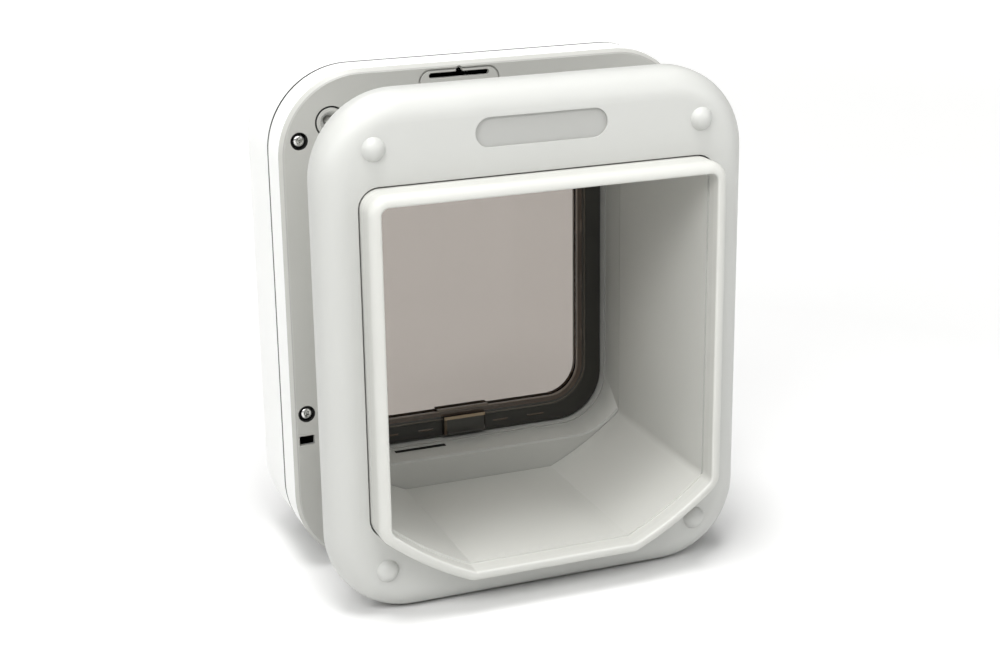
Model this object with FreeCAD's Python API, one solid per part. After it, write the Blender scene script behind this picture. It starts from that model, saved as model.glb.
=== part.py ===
import FreeCAD, Part
import math
import os

V = FreeCAD.Vector

# Cat flap for a door: an outer frame and entry tunnel on one face of the door, and a deep housing
# with the swinging flap on the other. Millimetres, x to the right, y into the house, z up.
# The origin is the middle of the fixing pattern, on the door's outer face.

# The opening that runs from the lip to the riser, and how far the frames reach past it
door_gap = 45.0
opening_width = 153.0
opening_height = 168.1
side_border = 23.5
top_border = 45.5
bottom_border = 22.4
frame_corner = 38.0
slope_width = 37.8
slope_height = 24.1
opening_bulge = 1.7
opening_corner = 2.6
opening_toe_round = 2.0
opening_shoulder_round = 4.0
fit_gap = 0.3
pin_clearance = 0.05
thread_gap = 0.05

# Outer frame
frame_depth = 16.5
frame_edge = 12.5
frame_wall = 2.6
collar_wall = 2.0
dome_radius = 5.25
dome_height = 3.5
badge_length = 61.0
badge_height = 13.0
badge_depth = 1.2
badge_from_top = 20.0
rib_wall = 1.6
rib_front_gap = 2.0

# Entry tunnel
lip_proud = 14.5
lip_wall = 6.1
lip_outer_round = 3.9
lip_inner_round = 1.0
lip_step = 0.9
lip_step_depth = 9.0
lip_front_wall = 5.0
lip_gap = 0.65
tunnel_wall = 2.0
flange_reach = 12.0
flange_wall = 2.6

# Housing
housing_wall = 2.5
back_depth = 20.2
parting_gap = 0.5
back_bevel = 2.1
cover_behind_flap = 9.0
cover_edge = 6.0
cover_inner_edge = 3.0
collar_gap = 0.5
riser_depth = 25.0
riser_bevel = 1.0
tongue_wall = 1.2
tongue_depth = 2.0
trim_wall = 4.5
trim_proud = 2.0

# Fixing screws and their wells
fixing_inset = 0.8
fixing_rise = 22.85
fixing_radius = 2.0
fixing_head_radius = 3.8
fixing_head_height = 2.8
fixing_bite = 11.0
well_radius = 7.4
well_bore = 5.4
well_recess = 4.9
well_recess_depth = 5.0
well_seat = 3.0
well_length = 17.0
groove_width = 0.8
groove_depth = 0.7
cap_height = 3.0
cap_dome = 0.8
boss_radius = 5.0

# Screws that join the two halves of the housing
top_screw_inset = 9.4
top_screw_drop = 29.9
side_screw_inset = 6.9
side_screw_rise = 56.0
bottom_screw_inset = 10.0
bottom_screw_rise = 7.0
joint_recess = 4.0
joint_recess_depth = 3.5
joint_screw_radius = 1.5
joint_head_radius = 2.75
joint_head_height = 3.0
joint_boss = 4.8
joint_screw_length = 27.0

# Marks on the housing's face against the door
clip_width = 7.2
clip_height = 4.7
clip_inset = 6.5
clip_drop = 13.0
pad_left = -34.4
pad_right = 4.3
pad_from_top = 2.8
pad_height = 17.2
pad_corner = 5.5
pad_slot_length = 28.9
pad_slot_height = 2.5
pad_slot_from_top = 5.7
pad_notch = 1.6

# Flap surround, which makes the riser, the ledge and the hinge sockets
ledge_rise = 15.1
ledge_fall = 0.7
ledge_slope_width = 21.5
ledge_slope_height = 11.2
ledge_front_bulge = 2.0
ledge_depth = 18.0
ledge_corner = 24.0
passage_step = 0.6
ceiling_fall = 3.5
surround_wall = 2.5
surround_flange = 2.5
surround_flange_reach = 6.0
socket_boss = 5.0
socket_depth = 4.5

# Flap
flap_front = 46.0
flap_thickness = 6.0
flap_gap = 1.0
flap_floor_gap = 1.5
flap_over_pins = 4.0
flap_top_corner = 3.0
flap_corner = 23.0
rim_width = 12.8
seal_width = 8.0
seal_overhang = 0.8
seal_wall = 1.0
seal_step = 0.3
bead_step = 1.2
window_corner = 16.0
window_top_corner = 8.0
window_under_pins = 9.0
pane_wall = 2.0
pane_bite = 2.8
groove_gap = 0.1
bead_round = 0.5
tab_half = 13.5
tab_rise = 1.0
tab_block_half = 11.0
tab_block_height = 9.5
tab_block_proud = 3.5
magnet_half = 8.0
magnet_height = 5.0
magnet_wall = 1.6
hinge_drop = 9.0
pin_radius = 1.5
pin_length = 14.0
pin_end_gap = 0.4
seal_pin_gap = 0.4

# Rotary lock
lock_x = -25.7
lock_floor_gap = 0.7
lock_disc_wall = 2.5
lock_hub = 9.0
lock_sector = 104.0
lock_slot_gap = 0.4
exit_lobe_angle = 225.0
entry_lobe_angle = 315.0
exit_disc_from_flap = 5.75
entry_disc_cover_gap = 2.0
shaft_radius = 3.0
shaft_flat = 0.8
bearing_wall = 2.8
bearing_half = 7.0
bearing_drop = 7.0
bearing_disc_gap = 2.4
knob_trim_gap = 0.6
knob_base = 3.0
knob_height = 10.0
knob_grip_wall = 6.0
knob_gap = 0.4
knob_recess_depth = 0.8

# Entry latch and the solenoid that lifts it
latch_x = 16.0
latch_half = 5.0
latch_wall = 3.0
latch_gap = 0.3
latch_cover_gap = 0.9
latch_drop = 11.0
latch_foot = 3.0
latch_sink = 0.3
latch_rest_gap = 2.7
plunger_radius = 2.4
plunger_gap = 0.1
plunger_end_gap = 0.7
solenoid_half = 9.0
solenoid_depth = 14.0
solenoid_wall = 1.0

# Sill magnet
sill_magnet_half = 9.0
sill_magnet_depth = 9.0
sill_magnet_height = 5.0

# Circuit board, buttons and status light
board_gap = 1.3
board_margin = 4.5
board_ledge_gap = 5.5
board_wall = 1.6
board_from_cover = 10.5
button_pitch = 11.0
button_rise = 16.5
button_radius = 3.5
button_flange = 4.9
button_flange_wall = 1.2
button_proud = 1.6
button_gap = 0.4
switch_half = 3.0
switch_height = 3.6
button_switch_gap = 1.3
lens_rise = 24.5
lens_radius = 1.5
lens_gap = 0.1
lens_length = 5.0

# Aerial coil round the tunnel
coil_start = 7.0
coil_depth = 8.0
coil_inner = 4.8
coil_outer = 7.6

# Battery box
lid_over_corner = 1.0
lid_depth = 29.0
lid_height = 25.0
lid_wall = 2.2
lid_gap = 0.3
lid_corner = 5.0
lid_ribs = 5
lid_rib_pitch = 3.0
lid_rib_wall = 1.0
lid_rib_proud = 0.8
lid_rib_half = 12.0
cell_radius = 7.1
cell_length = 50.0
cell_nub = 2.7
cell_nub_length = 1.2
cell_gap = 0.3
tray_wall = 1.6
tray_side_height = 9.0
contact_wall = 0.6
contact_half = 5.0

# Outlines that the sizes above set
frame_width = opening_width + 2 * side_border
frame_height = opening_height + top_border + bottom_border
frame_half = frame_width / 2
frame_top = frame_height / 2
opening_half = opening_width / 2
opening_top = frame_top - top_border
opening_floor = opening_top - opening_height
opening_toe = opening_half - slope_width
opening_shoulder = opening_floor + slope_height
ledge_z = opening_floor + ledge_rise
ledge_under = ledge_z - surround_wall
ledge_front_z = ledge_z - ledge_fall
ledge_front_toe = opening_half - ledge_slope_width
ledge_front_shoulder = ledge_front_z + ledge_slope_height
surround_top = opening_top - ceiling_fall
floor_inside = -frame_top + housing_wall
lid_half = frame_half - frame_corner + lid_over_corner
lid_bottom = frame_top - lid_height

# Planes across the door's thickness
outer_face = -frame_depth
lip_front = outer_face - lip_proud
back_face = door_gap
parting = back_face + back_depth
riser = back_face + riser_depth
ledge_end = riser + ledge_depth
flap_y0 = back_face + flap_front
flap_y1 = flap_y0 + flap_thickness
cover_face = flap_y1 + cover_behind_flap
cover_inside = cover_face - housing_wall
well_end = back_face + well_length
seat_y = back_face + well_recess_depth + well_seat

# Flap, hinge and pane
hinge_y = (flap_y0 + flap_y1) / 2
hinge_z = surround_top - hinge_drop
flap_top = hinge_z + flap_over_pins
flap_half = opening_half - flap_gap
flap_bottom = ledge_z + flap_floor_gap
rim_half = flap_half - seal_overhang
rim_bottom = flap_bottom + seal_overhang
rim_corner = flap_corner - seal_overhang
window_half = flap_half - rim_width
window_bottom = flap_bottom + rim_width
window_top = hinge_z - window_under_pins

# Fixings
fixing_x = opening_half - fixing_inset
fixing_z = opening_top + fixing_rise
joint_screw_places = [
    (frame_half - top_screw_inset, frame_top - top_screw_drop),
    (frame_half - side_screw_inset, opening_floor + side_screw_rise),
    (opening_half - bottom_screw_inset, -frame_top + bottom_screw_rise),
]
clip_x = frame_half - clip_inset
clip_z = opening_floor + side_screw_rise - clip_drop

# Lock, latch and electronics
lock_z = opening_floor
lock_disc_radius = lock_z - floor_inside - lock_floor_gap
knob_radius = ledge_z - trim_wall - knob_trim_gap - lock_z
exit_disc_y = flap_y0 - exit_disc_from_flap - lock_disc_wall
entry_disc_y = cover_inside - entry_disc_cover_gap - lock_disc_wall
bearing_y = exit_disc_y - bearing_disc_gap - bearing_wall
latch_y = cover_inside - latch_cover_gap - latch_wall
latch_top = ledge_z - latch_sink
latch_bottom = latch_top - latch_drop - latch_foot
solenoid_y = cover_inside - solenoid_depth / 2
solenoid_base = floor_inside + cover_inner_edge
solenoid_top = latch_bottom - latch_rest_gap
board_left = latch_x + solenoid_half + board_gap
board_right = board_left + button_pitch + 2 * board_margin
board_middle = (board_left + board_right) / 2
board_top = ledge_under - board_ledge_gap
button_z = floor_inside + button_rise
button_places = [board_middle - button_pitch / 2, board_middle + button_pitch / 2]
lens_z = floor_inside + lens_rise


def box(x0, x1, y0, y1, z0, z1):
    return Part.makeBox(x1 - x0, y1 - y0, z1 - z0, V(x0, y0, z0))


def rod(x, z, radius, y0, y1):
    return Part.makeCylinder(radius, y1 - y0, V(x, y0, z), V(0, 1, 0))


def cross_rod(y, z, radius, x0, x1):
    return Part.makeCylinder(radius, x1 - x0, V(x0, y, z), V(1, 0, 0))


def upright_rod(x, y, radius, z0, z1):
    return Part.makeCylinder(radius, z1 - z0, V(x, y, z0), V(0, 0, 1))


def mirrored(shape):
    return shape.mirror(V(0, 0, 0), V(1, 0, 0))


def both_sides(shape):
    return [shape, mirrored(shape)]


def edges_on(shape, y):
    # Edges that lie wholly in one plane across the door's thickness.
    found = []
    for edge in shape.Edges:
        bounds = edge.BoundBox
        if abs(bounds.YMin - y) < 0.001 and abs(bounds.YMax - y) < 0.001:
            found.append(edge)
    return found


def edges_through(shape):
    # Straight edges that run across the door's thickness.
    found = []
    for edge in shape.Edges:
        bounds = edge.BoundBox
        if bounds.XLength < 0.001 and bounds.ZLength < 0.001:
            found.append(edge)
    return found


def upright_edges(shape, y):
    # Straight upright edges that lie in one plane across the door's thickness.
    found = []
    for edge in edges_on(shape, y):
        if edge.BoundBox.XLength < 0.001:
            found.append(edge)
    return found


def rounded_slab(width, height, corner, y0, y1):
    slab = box(-width / 2, width / 2, y0, y1, -height / 2, height / 2)
    return slab.makeFillet(corner, edges_through(slab))


def opening_wire(y):
    # The section of the tunnel: square top corners, and floor corners cut by a bowed slope.
    across = opening_half - opening_toe
    up = opening_shoulder - opening_floor
    slope = math.hypot(across, up)
    middle_x = (opening_half + opening_toe) / 2 + opening_bulge * up / slope
    middle_z = (opening_floor + opening_shoulder) / 2 - opening_bulge * across / slope
    top_left = V(-opening_half, y, opening_top)
    top_right = V(opening_half, y, opening_top)
    shoulder_right = V(opening_half, y, opening_shoulder)
    toe_right = V(opening_toe, y, opening_floor)
    toe_left = V(-opening_toe, y, opening_floor)
    shoulder_left = V(-opening_half, y, opening_shoulder)
    edges = [
        Part.LineSegment(top_left, top_right).toShape(),
        Part.LineSegment(top_right, shoulder_right).toShape(),
        Part.Arc(shoulder_right, V(middle_x, y, middle_z), toe_right).toShape(),
        Part.LineSegment(toe_right, toe_left).toShape(),
        Part.Arc(toe_left, V(-middle_x, y, middle_z), shoulder_left).toShape(),
        Part.LineSegment(shoulder_left, top_left).toShape(),
    ]
    return Part.Wire(edges)


def rounded_opening():
    # One unit of the tunnel's section with its corners rounded, whose front wire is reused.
    prism = Part.Face(opening_wire(0)).extrude(V(0, 1, 0))
    rounds = {"top": [], "toe": [], "shoulder": []}
    for edge in edges_through(prism):
        z = edge.BoundBox.ZMin
        if z > 0:
            rounds["top"].append(edge)
        elif abs(z - opening_floor) < 0.001:
            rounds["toe"].append(edge)
        else:
            rounds["shoulder"].append(edge)
    prism = prism.makeFillet(opening_corner, rounds["top"])
    for name, radius in (("toe", opening_toe_round), ("shoulder", opening_shoulder_round)):
        chosen = []
        for edge in edges_through(prism):
            for old in rounds[name]:
                if edge.BoundBox.Center.distanceToPoint(old.BoundBox.Center) < 0.001:
                    chosen.append(edge)
        prism = prism.makeFillet(radius, chosen)
    for face in prism.Faces:
        if face.BoundBox.YMax < 0.001:
            return face.OuterWire


section_wire = rounded_opening()


def opening_prism(grow, y0, y1):
    wire = section_wire
    if grow > 0:
        wire = wire.makeOffset2D(grow)
    prism = Part.Face(wire).extrude(V(0, y1 - y0, 0))
    prism.translate(V(0, y0, 0))
    return prism


def opening_ring(inner, outer, y0, y1):
    return opening_prism(outer, y0, y1).cut(opening_prism(inner, y0, y1))


def flap_wire(y, half, top, bottom, top_corner, foot):
    # A round-cornered outline whose two lower corners are arcs through the points in foot.
    start_x, middle, end_z = foot
    near = top_corner * (1 - math.sqrt(0.5))
    edges = []
    edges.append(Part.LineSegment(V(-half + top_corner, y, top), V(half - top_corner, y, top)))
    edges.append(Part.Arc(V(half - top_corner, y, top), V(half - near, y, top - near),
                          V(half, y, top - top_corner)))
    edges.append(Part.LineSegment(V(half, y, top - top_corner), V(half, y, end_z)))
    edges.append(Part.Arc(V(half, y, end_z), V(middle[0], y, middle[1]), V(start_x, y, bottom)))
    edges.append(Part.LineSegment(V(start_x, y, bottom), V(-start_x, y, bottom)))
    edges.append(Part.Arc(V(-start_x, y, bottom), V(-middle[0], y, middle[1]), V(-half, y, end_z)))
    edges.append(Part.LineSegment(V(-half, y, end_z), V(-half, y, top - top_corner)))
    edges.append(Part.Arc(V(-half, y, top - top_corner), V(-half + near, y, top - near),
                          V(-half + top_corner, y, top)))
    return Part.Wire([edge.toShape() for edge in edges])


def round_foot(half, bottom, corner):
    near = corner * (1 - math.sqrt(0.5))
    return (half - corner, (half - near, bottom + near), bottom + corner)


def sloped_foot(half, bottom, toe, shoulder, bulge):
    across = half - toe
    up = shoulder - bottom
    slope = math.hypot(across, up)
    middle = ((half + toe) / 2 + bulge * up / slope, (bottom + shoulder) / 2 - bulge * across / slope)
    return (toe, middle, shoulder)


def flap_slab(half, top, bottom, top_corner, corner, y0, y1):
    wire = flap_wire(y0, half, top, bottom, top_corner, round_foot(half, bottom, corner))
    return Part.Face(wire).extrude(V(0, y1 - y0, 0))


def fixing_places():
    return [(x, z) for x in (-fixing_x, fixing_x) for z in (-fixing_z, fixing_z)]


def joint_places():
    return [(side * x, z) for x, z in joint_screw_places for side in (-1, 1)]


def pill(length, height, z, y0, y1):
    radius = height / 2
    reach = length / 2 - radius
    shape = box(-reach, reach, y0, y1, z - radius, z + radius)
    for side in (-1, 1):
        shape = shape.fuse(rod(side * reach, z, radius, y0, y1))
    return shape.removeSplitter()


def save(name, shape):
    shape.exportStep("parts/" + name + ".step")


# Outer frame: a hollow moulding, open behind, with a collar round the tunnel
def make_outer_frame():
    skin = rounded_slab(frame_width, frame_height, frame_corner, outer_face, 0)
    skin = skin.makeFillet(frame_edge, edges_on(skin, outer_face))
    inside_face = outer_face + frame_wall
    core = rounded_slab(frame_width - 2 * frame_wall, frame_height - 2 * frame_wall,
                        frame_corner - frame_wall, inside_face, 0)
    core = core.makeFillet(frame_edge - frame_wall, edges_on(core, inside_face))
    shell = skin.cut(core)
    hole_grow = lip_wall + lip_gap
    collar_back = -flange_wall - 2 * fit_gap
    collar = opening_prism(hole_grow + collar_wall, inside_face - frame_wall / 2, collar_back)
    shell = shell.fuse(collar)
    rib_back = collar_back - rib_front_gap
    for place in (-1, 1):
        upright = box(place * opening_toe - rib_wall / 2, place * opening_toe + rib_wall / 2,
                      inside_face, rib_back, -frame_height / 2, frame_height / 2)
        level = box(-frame_width / 2, frame_width / 2, inside_face, rib_back,
                    place * opening_toe - rib_wall / 2, place * opening_toe + rib_wall / 2)
        shell = shell.fuse([upright.common(core), level.common(core)])
    sphere_radius = (dome_radius ** 2 + dome_height ** 2) / (2 * dome_height)
    for x, z in fixing_places():
        dome = Part.makeSphere(sphere_radius, V(x, outer_face - dome_height + sphere_radius, z))
        boss = rod(x, z, boss_radius, inside_face - frame_wall / 2, -fit_gap)
        shell = shell.fuse([dome, boss])
    shell = shell.cut(opening_prism(hole_grow, outer_face - dome_height, 0))
    for x, z in fixing_places():
        shell = shell.cut(rod(x, z, fixing_radius + thread_gap, -fixing_bite - thread_gap, 0))
    badge = pill(badge_length, badge_height, frame_top - badge_from_top, outer_face, outer_face + badge_depth)
    return shell.cut(badge).removeSplitter()


# Entry tunnel: a rolled lip, a flange behind the frame and a tube as far as the riser
def make_entry_tunnel():
    lip = opening_prism(lip_wall, lip_front, -fit_gap)
    lip = lip.makeFillet(lip_outer_round, edges_on(lip, lip_front))
    lip = lip.cut(opening_prism(0, lip_front, 0))
    lip = lip.cut(opening_prism(lip_step, lip_front, lip_front + lip_step_depth))
    inner_edges = []
    for edge in edges_on(lip, lip_front):
        bounds = edge.BoundBox
        inside = max(bounds.XMax, -bounds.XMin) < opening_half + lip_step + 0.001
        if inside and bounds.ZMax < opening_top + lip_step + 0.001:
            if bounds.ZMin > opening_floor - lip_step - 0.001:
                inner_edges.append(edge)
    lip = lip.makeFillet(lip_inner_round, inner_edges)
    groove = opening_ring(tunnel_wall, lip_wall - tunnel_wall, lip_front + lip_front_wall, 0)
    lip = lip.cut(groove)
    flange = opening_ring(lip_wall - tunnel_wall, flange_reach, -flange_wall - fit_gap, -fit_gap)
    for x, z in fixing_places():
        flange = flange.cut(rod(x, z, boss_radius + fit_gap, -flange_wall - fit_gap, -fit_gap))
    tube = opening_ring(0, tunnel_wall, -fit_gap - flange_wall, riser - fit_gap)
    return lip.fuse([flange, tube]).removeSplitter()


# Housing, the half against the door
def make_housing_back():
    skin = rounded_slab(frame_width, frame_height, frame_corner, back_face, parting)
    skin = skin.makeChamfer(back_bevel, edges_on(skin, back_face))
    plate = back_face + housing_wall
    core = rounded_slab(frame_width - 2 * housing_wall, frame_height - 2 * housing_wall,
                        frame_corner - housing_wall, plate, parting)
    shell = skin.cut(core)
    tube_hole = tunnel_wall + collar_gap
    shell = shell.fuse(opening_prism(tube_hole + collar_wall, back_face, riser))
    for x, z in fixing_places():
        shell = shell.fuse(rod(x, z, well_radius, back_face, well_end))
    for x, z in joint_places():
        shell = shell.fuse(rod(x, z, joint_boss, back_face + back_bevel, parting).common(skin))
    shell = shell.cut(opening_prism(tube_hole, back_face, riser))
    for x, z in fixing_places():
        cuts = [
            rod(x, z, well_recess, back_face, back_face + well_recess_depth),
            rod(x, z, fixing_radius + fit_gap, back_face, well_end),
            rod(x, z, well_bore, seat_y, well_end),
            rod(x, z, well_radius, back_face, back_face + groove_depth).cut(
                rod(x, z, well_radius - groove_width, back_face, back_face + groove_depth)),
        ]
        shell = shell.cut(cuts)
    for x, z in joint_places():
        seat = back_face + joint_recess_depth
        shell = shell.cut(rod(x, z, joint_recess, back_face, seat))
        shell = shell.cut(rod(x, z, joint_screw_radius + fit_gap, seat, parting))
    clip = box(clip_x - clip_width / 2, clip_x + clip_width / 2, back_face, plate,
               clip_z - clip_height / 2, clip_z + clip_height / 2)
    shell = shell.cut(both_sides(clip))
    return shell.cut(make_pad_marks()).removeSplitter()


def make_pad_marks():
    # The grooved outline near the top edge, with its long slot and two small notches.
    plate = back_face + housing_wall
    pad_top = frame_top - pad_from_top
    pad_bottom = pad_top - pad_height
    slot_z = frame_top - pad_slot_from_top
    outer = box(pad_left, pad_right, back_face, back_face + groove_depth, pad_bottom, pad_top)
    outer = outer.makeFillet(pad_corner, edges_through(outer))
    inner = box(pad_left + groove_width, pad_right - groove_width, back_face,
                back_face + groove_depth, pad_bottom + groove_width, pad_top - groove_width)
    inner = inner.makeFillet(pad_corner - groove_width, edges_through(inner))
    middle = (pad_left + pad_right) / 2
    slot = pill(pad_slot_length, pad_slot_height, slot_z, back_face, plate)
    slot.translate(V(middle, 0, 0))
    notch = rod(middle, pad_top - groove_width, pad_notch, back_face, back_face + groove_depth)
    dip = rod(middle, slot_z + pad_slot_height / 2, pad_notch, back_face, plate)
    return [outer.cut(inner), slot, notch, dip]


# Housing, the half that faces into the room
def make_housing_cover():
    start = parting + parting_gap
    skin = rounded_slab(frame_width, frame_height, frame_corner, start, cover_face)
    skin = skin.makeFillet(cover_edge, edges_on(skin, cover_face))
    core = rounded_slab(frame_width - 2 * housing_wall, frame_height - 2 * housing_wall,
                        frame_corner - housing_wall, start, cover_inside)
    core = core.makeFillet(cover_inner_edge, edges_on(core, cover_inside))
    shell = skin.cut(core)
    inset = housing_wall + fit_gap
    tongue = rounded_slab(frame_width - 2 * inset, frame_height - 2 * inset,
                          frame_corner - inset, parting - tongue_depth, start)
    deep = inset + tongue_wall
    hollow = rounded_slab(frame_width - 2 * deep, frame_height - 2 * deep,
                          frame_corner - deep, parting - tongue_depth, start + tongue_depth)
    web = rounded_slab(frame_width - 2 * housing_wall, frame_height - 2 * housing_wall,
                       frame_corner - housing_wall, start, start + tongue_depth)
    tongue = tongue.fuse(web).cut(hollow)
    for x, z in joint_places():
        tongue = tongue.cut(rod(x, z, joint_boss + fit_gap, parting - tongue_depth, start))
    shell = shell.fuse(tongue)
    trim = flap_slab(opening_half + trim_wall, surround_top + trim_wall, ledge_z - trim_wall,
                     trim_wall + flap_top_corner, ledge_corner + trim_wall,
                     cover_face - housing_wall / 2, cover_face + trim_proud)
    shell = shell.fuse(trim.makeFillet(trim_proud / 2, edges_on(trim, cover_face + trim_proud)))
    for x, z in fixing_places():
        shell = shell.fuse(rod(x, z, well_radius, well_end + fit_gap, cover_inside))
    for x, z in joint_places():
        shell = shell.fuse(rod(x, z, joint_boss, start, cover_inside).common(skin))
    for x, z in fixing_places():
        shell = shell.cut(rod(x, z, well_bore, well_end, cover_face))
    for x, z in joint_places():
        shell = shell.cut(rod(x, z, joint_screw_radius + thread_gap, start,
                              back_face + joint_recess_depth + joint_screw_length))
    passage = flap_slab(opening_half, surround_top, ledge_z, flap_top_corner, ledge_corner,
                        cover_inside, cover_face + trim_proud)
    shell = shell.cut(passage)
    shell = shell.cut(rod(lock_x, lock_z, knob_radius + knob_gap, cover_face - knob_recess_depth,
                          cover_face))
    shell = shell.cut(rod(lock_x, lock_z, shaft_radius + pin_clearance, cover_inside, cover_face))
    for x in button_places:
        shell = shell.cut(rod(x, button_z, button_radius + button_gap, cover_inside, cover_face))
    shell = shell.cut(rod(board_middle, lens_z, lens_radius + lens_gap, cover_inside, cover_face))
    lid_space = box(-lid_half, lid_half, cover_face - lid_depth, cover_face + trim_proud,
                    lid_bottom, frame_top)
    lid_space = lid_space.makeFillet(lid_corner + lid_gap,
                                     upright_edges(lid_space, cover_face - lid_depth))
    return shell.cut(lid_space).removeSplitter()


# Flap surround: riser, ledge, side walls and hinge sockets
def make_flap_surround():
    flange = opening_prism(surround_flange_reach, riser, riser + surround_flange)
    bevel = riser_bevel
    mouth = flap_wire(riser, opening_half, opening_top, ledge_front_z - bevel, flap_top_corner,
                      sloped_foot(opening_half, ledge_front_z - bevel, ledge_front_toe,
                                  ledge_front_shoulder - bevel, ledge_front_bulge))
    front = flap_wire(riser + bevel, opening_half, opening_top, ledge_front_z, flap_top_corner,
                      sloped_foot(opening_half, ledge_front_z, ledge_front_toe,
                                  ledge_front_shoulder, ledge_front_bulge))
    step = passage_step
    rear = flap_wire(ledge_end, opening_half + step, surround_top + step, ledge_z - step,
                     flap_top_corner + step,
                     round_foot(opening_half + step, ledge_z - step, ledge_corner + step))
    wall = surround_wall
    front_skin = flap_wire(riser, opening_half + wall, opening_top + wall, ledge_front_z - wall,
                           flap_top_corner + wall,
                           sloped_foot(opening_half + wall, ledge_front_z - wall, ledge_front_toe,
                                       ledge_front_shoulder, ledge_front_bulge))
    rear_skin = flap_wire(ledge_end, opening_half + wall, surround_top + wall, ledge_z - wall,
                          flap_top_corner + wall,
                          round_foot(opening_half + wall, ledge_z - wall, ledge_corner + wall))
    skin = Part.makeLoft([front_skin, rear_skin], True, True)
    skin = skin.fuse(flap_slab(opening_half + wall, surround_top + wall, ledge_z - wall,
                               flap_top_corner + wall, ledge_corner + wall,
                               ledge_end, cover_inside))
    skin = skin.fuse(flange)
    socket = cross_rod(hinge_y, hinge_z, socket_boss, opening_half + wall / 2,
                       opening_half + socket_depth)
    skin = skin.fuse(both_sides(socket))
    bearing = box(lock_x - bearing_half, lock_x + bearing_half, bearing_y,
                  bearing_y + bearing_wall, lock_z - bearing_drop, ledge_z - wall / 2)
    skin = skin.fuse(bearing)
    passage = Part.makeLoft([mouth, front, rear], True, True)
    passage = passage.fuse(flap_slab(opening_half, surround_top, ledge_z, flap_top_corner,
                                     ledge_corner, ledge_end, cover_inside))
    body = skin.cut(passage)
    pin_hole = cross_rod(hinge_y, hinge_z, pin_radius + pin_clearance, opening_half - wall,
                         opening_half + socket_depth - wall / 2)
    body = body.cut(both_sides(pin_hole))
    body = body.cut(rod(lock_x, lock_z, shaft_radius + pin_clearance, bearing_y,
                        bearing_y + bearing_wall))
    body = body.cut([lock_slot(exit_disc_y), lock_slot(entry_disc_y)])
    body = body.cut(box(latch_x - latch_half - latch_gap, latch_x + latch_half + latch_gap,
                        latch_y - latch_gap, latch_y + latch_wall + latch_gap,
                        ledge_under - wall, ledge_z + wall))
    return body.removeSplitter()


def lock_slot(disc_y):
    # The slot follows the disc's own sweep, so its ends slope outward under the ledge.
    return rod(lock_x, lock_z, lock_disc_radius + lock_slot_gap, disc_y - lock_slot_gap,
               disc_y + lock_disc_wall + lock_slot_gap).common(
                   box(lock_x - lock_disc_radius, lock_x + lock_disc_radius,
                       disc_y - lock_slot_gap, disc_y + lock_disc_wall + lock_slot_gap,
                       ledge_under - surround_wall, ledge_z + surround_wall))


def make_sill_magnet():
    y0 = hinge_y - sill_magnet_depth / 2
    return box(-sill_magnet_half, sill_magnet_half, y0, y0 + sill_magnet_depth,
               ledge_under - sill_magnet_height, ledge_under)


# Flap: a framed pane with a soft edge, a magnet tab and two pins
def window_slab(grow, y0, y1):
    return flap_slab(window_half + grow, window_top + grow, window_bottom - grow,
                     window_top_corner + grow, window_corner + grow, y0, y1)


def rim_slab(grow, y0, y1):
    return flap_slab(rim_half + grow, flap_top + grow, rim_bottom - grow,
                     flap_top_corner + grow, rim_corner + grow, y0, y1)


def make_flap_frame():
    band = rim_width - seal_width
    plate = rim_slab(0, flap_y0 + bead_step, flap_y1)
    bead = window_slab(band, flap_y0, flap_y1)
    bead = bead.makeFillet(bead_round, edges_on(bead, flap_y0))
    frame = plate.fuse(bead)
    opening = window_slab(0, flap_y0, flap_y1)
    tab = box(-tab_half, tab_half, flap_y0, flap_y1, window_bottom - 1, window_bottom + tab_rise)
    opening = opening.cut(tab)
    frame = frame.cut(opening)
    block = box(-tab_block_half, tab_block_half, flap_y0 - tab_block_proud, flap_y1,
                rim_bottom, rim_bottom + tab_block_height)
    block = block.makeChamfer(bead_step, edges_on(block, flap_y0 - tab_block_proud))
    frame = frame.fuse(block)
    pane_y = hinge_y - pane_wall / 2
    groove = window_slab(pane_bite + groove_gap, pane_y - groove_gap, pane_y + pane_wall + groove_gap)
    frame = frame.cut(groove)
    frame = frame.cut(magnet_block(0))
    hole = cross_rod(hinge_y, hinge_z, pin_radius, rim_half - pin_seat(), rim_half + seal_overhang)
    return frame.cut(both_sides(hole)).removeSplitter()


def pin_seat():
    # How far each pin goes into the flap, which leaves the rest of it for the socket.
    socket_end = opening_half + socket_depth - surround_wall / 2 - pin_end_gap
    return pin_length - (socket_end - rim_half)


def magnet_block(shrink):
    middle = rim_bottom + magnet_wall + magnet_height / 2
    return box(-magnet_half + shrink, magnet_half - shrink,
               flap_y0 - tab_block_proud + magnet_wall, flap_y1 - shrink,
               middle - magnet_height / 2 + shrink, middle + magnet_height / 2 - shrink)


def make_flap_pane():
    pane_y = hinge_y - pane_wall / 2
    return window_slab(pane_bite, pane_y, pane_y + pane_wall)


def make_flap_seal():
    front = flap_y0 + seal_step
    band = rim_width - seal_width
    face = rim_slab(seal_overhang, front, flap_y0 + bead_step)
    face = face.cut(window_slab(band + groove_gap, front, flap_y0 + bead_step))
    edge = rim_slab(seal_overhang, flap_y0 + bead_step, flap_y1 - seal_wall)
    edge = edge.cut(rim_slab(0, flap_y0 + bead_step, flap_y1))
    seal = face.fuse(edge)
    block = box(-tab_block_half - groove_gap, tab_block_half + groove_gap, front, flap_y1,
                rim_bottom, rim_bottom + tab_block_height)
    seal = seal.cut(block)
    hole = cross_rod(hinge_y, hinge_z, pin_radius + seal_pin_gap, rim_half - 1, opening_half)
    return seal.cut(both_sides(hole)).removeSplitter()


def make_hinge_pins():
    start = rim_half - pin_seat()
    pin = cross_rod(hinge_y, hinge_z, pin_radius, start, start + pin_length)
    return Part.makeCompound(both_sides(pin))


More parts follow.
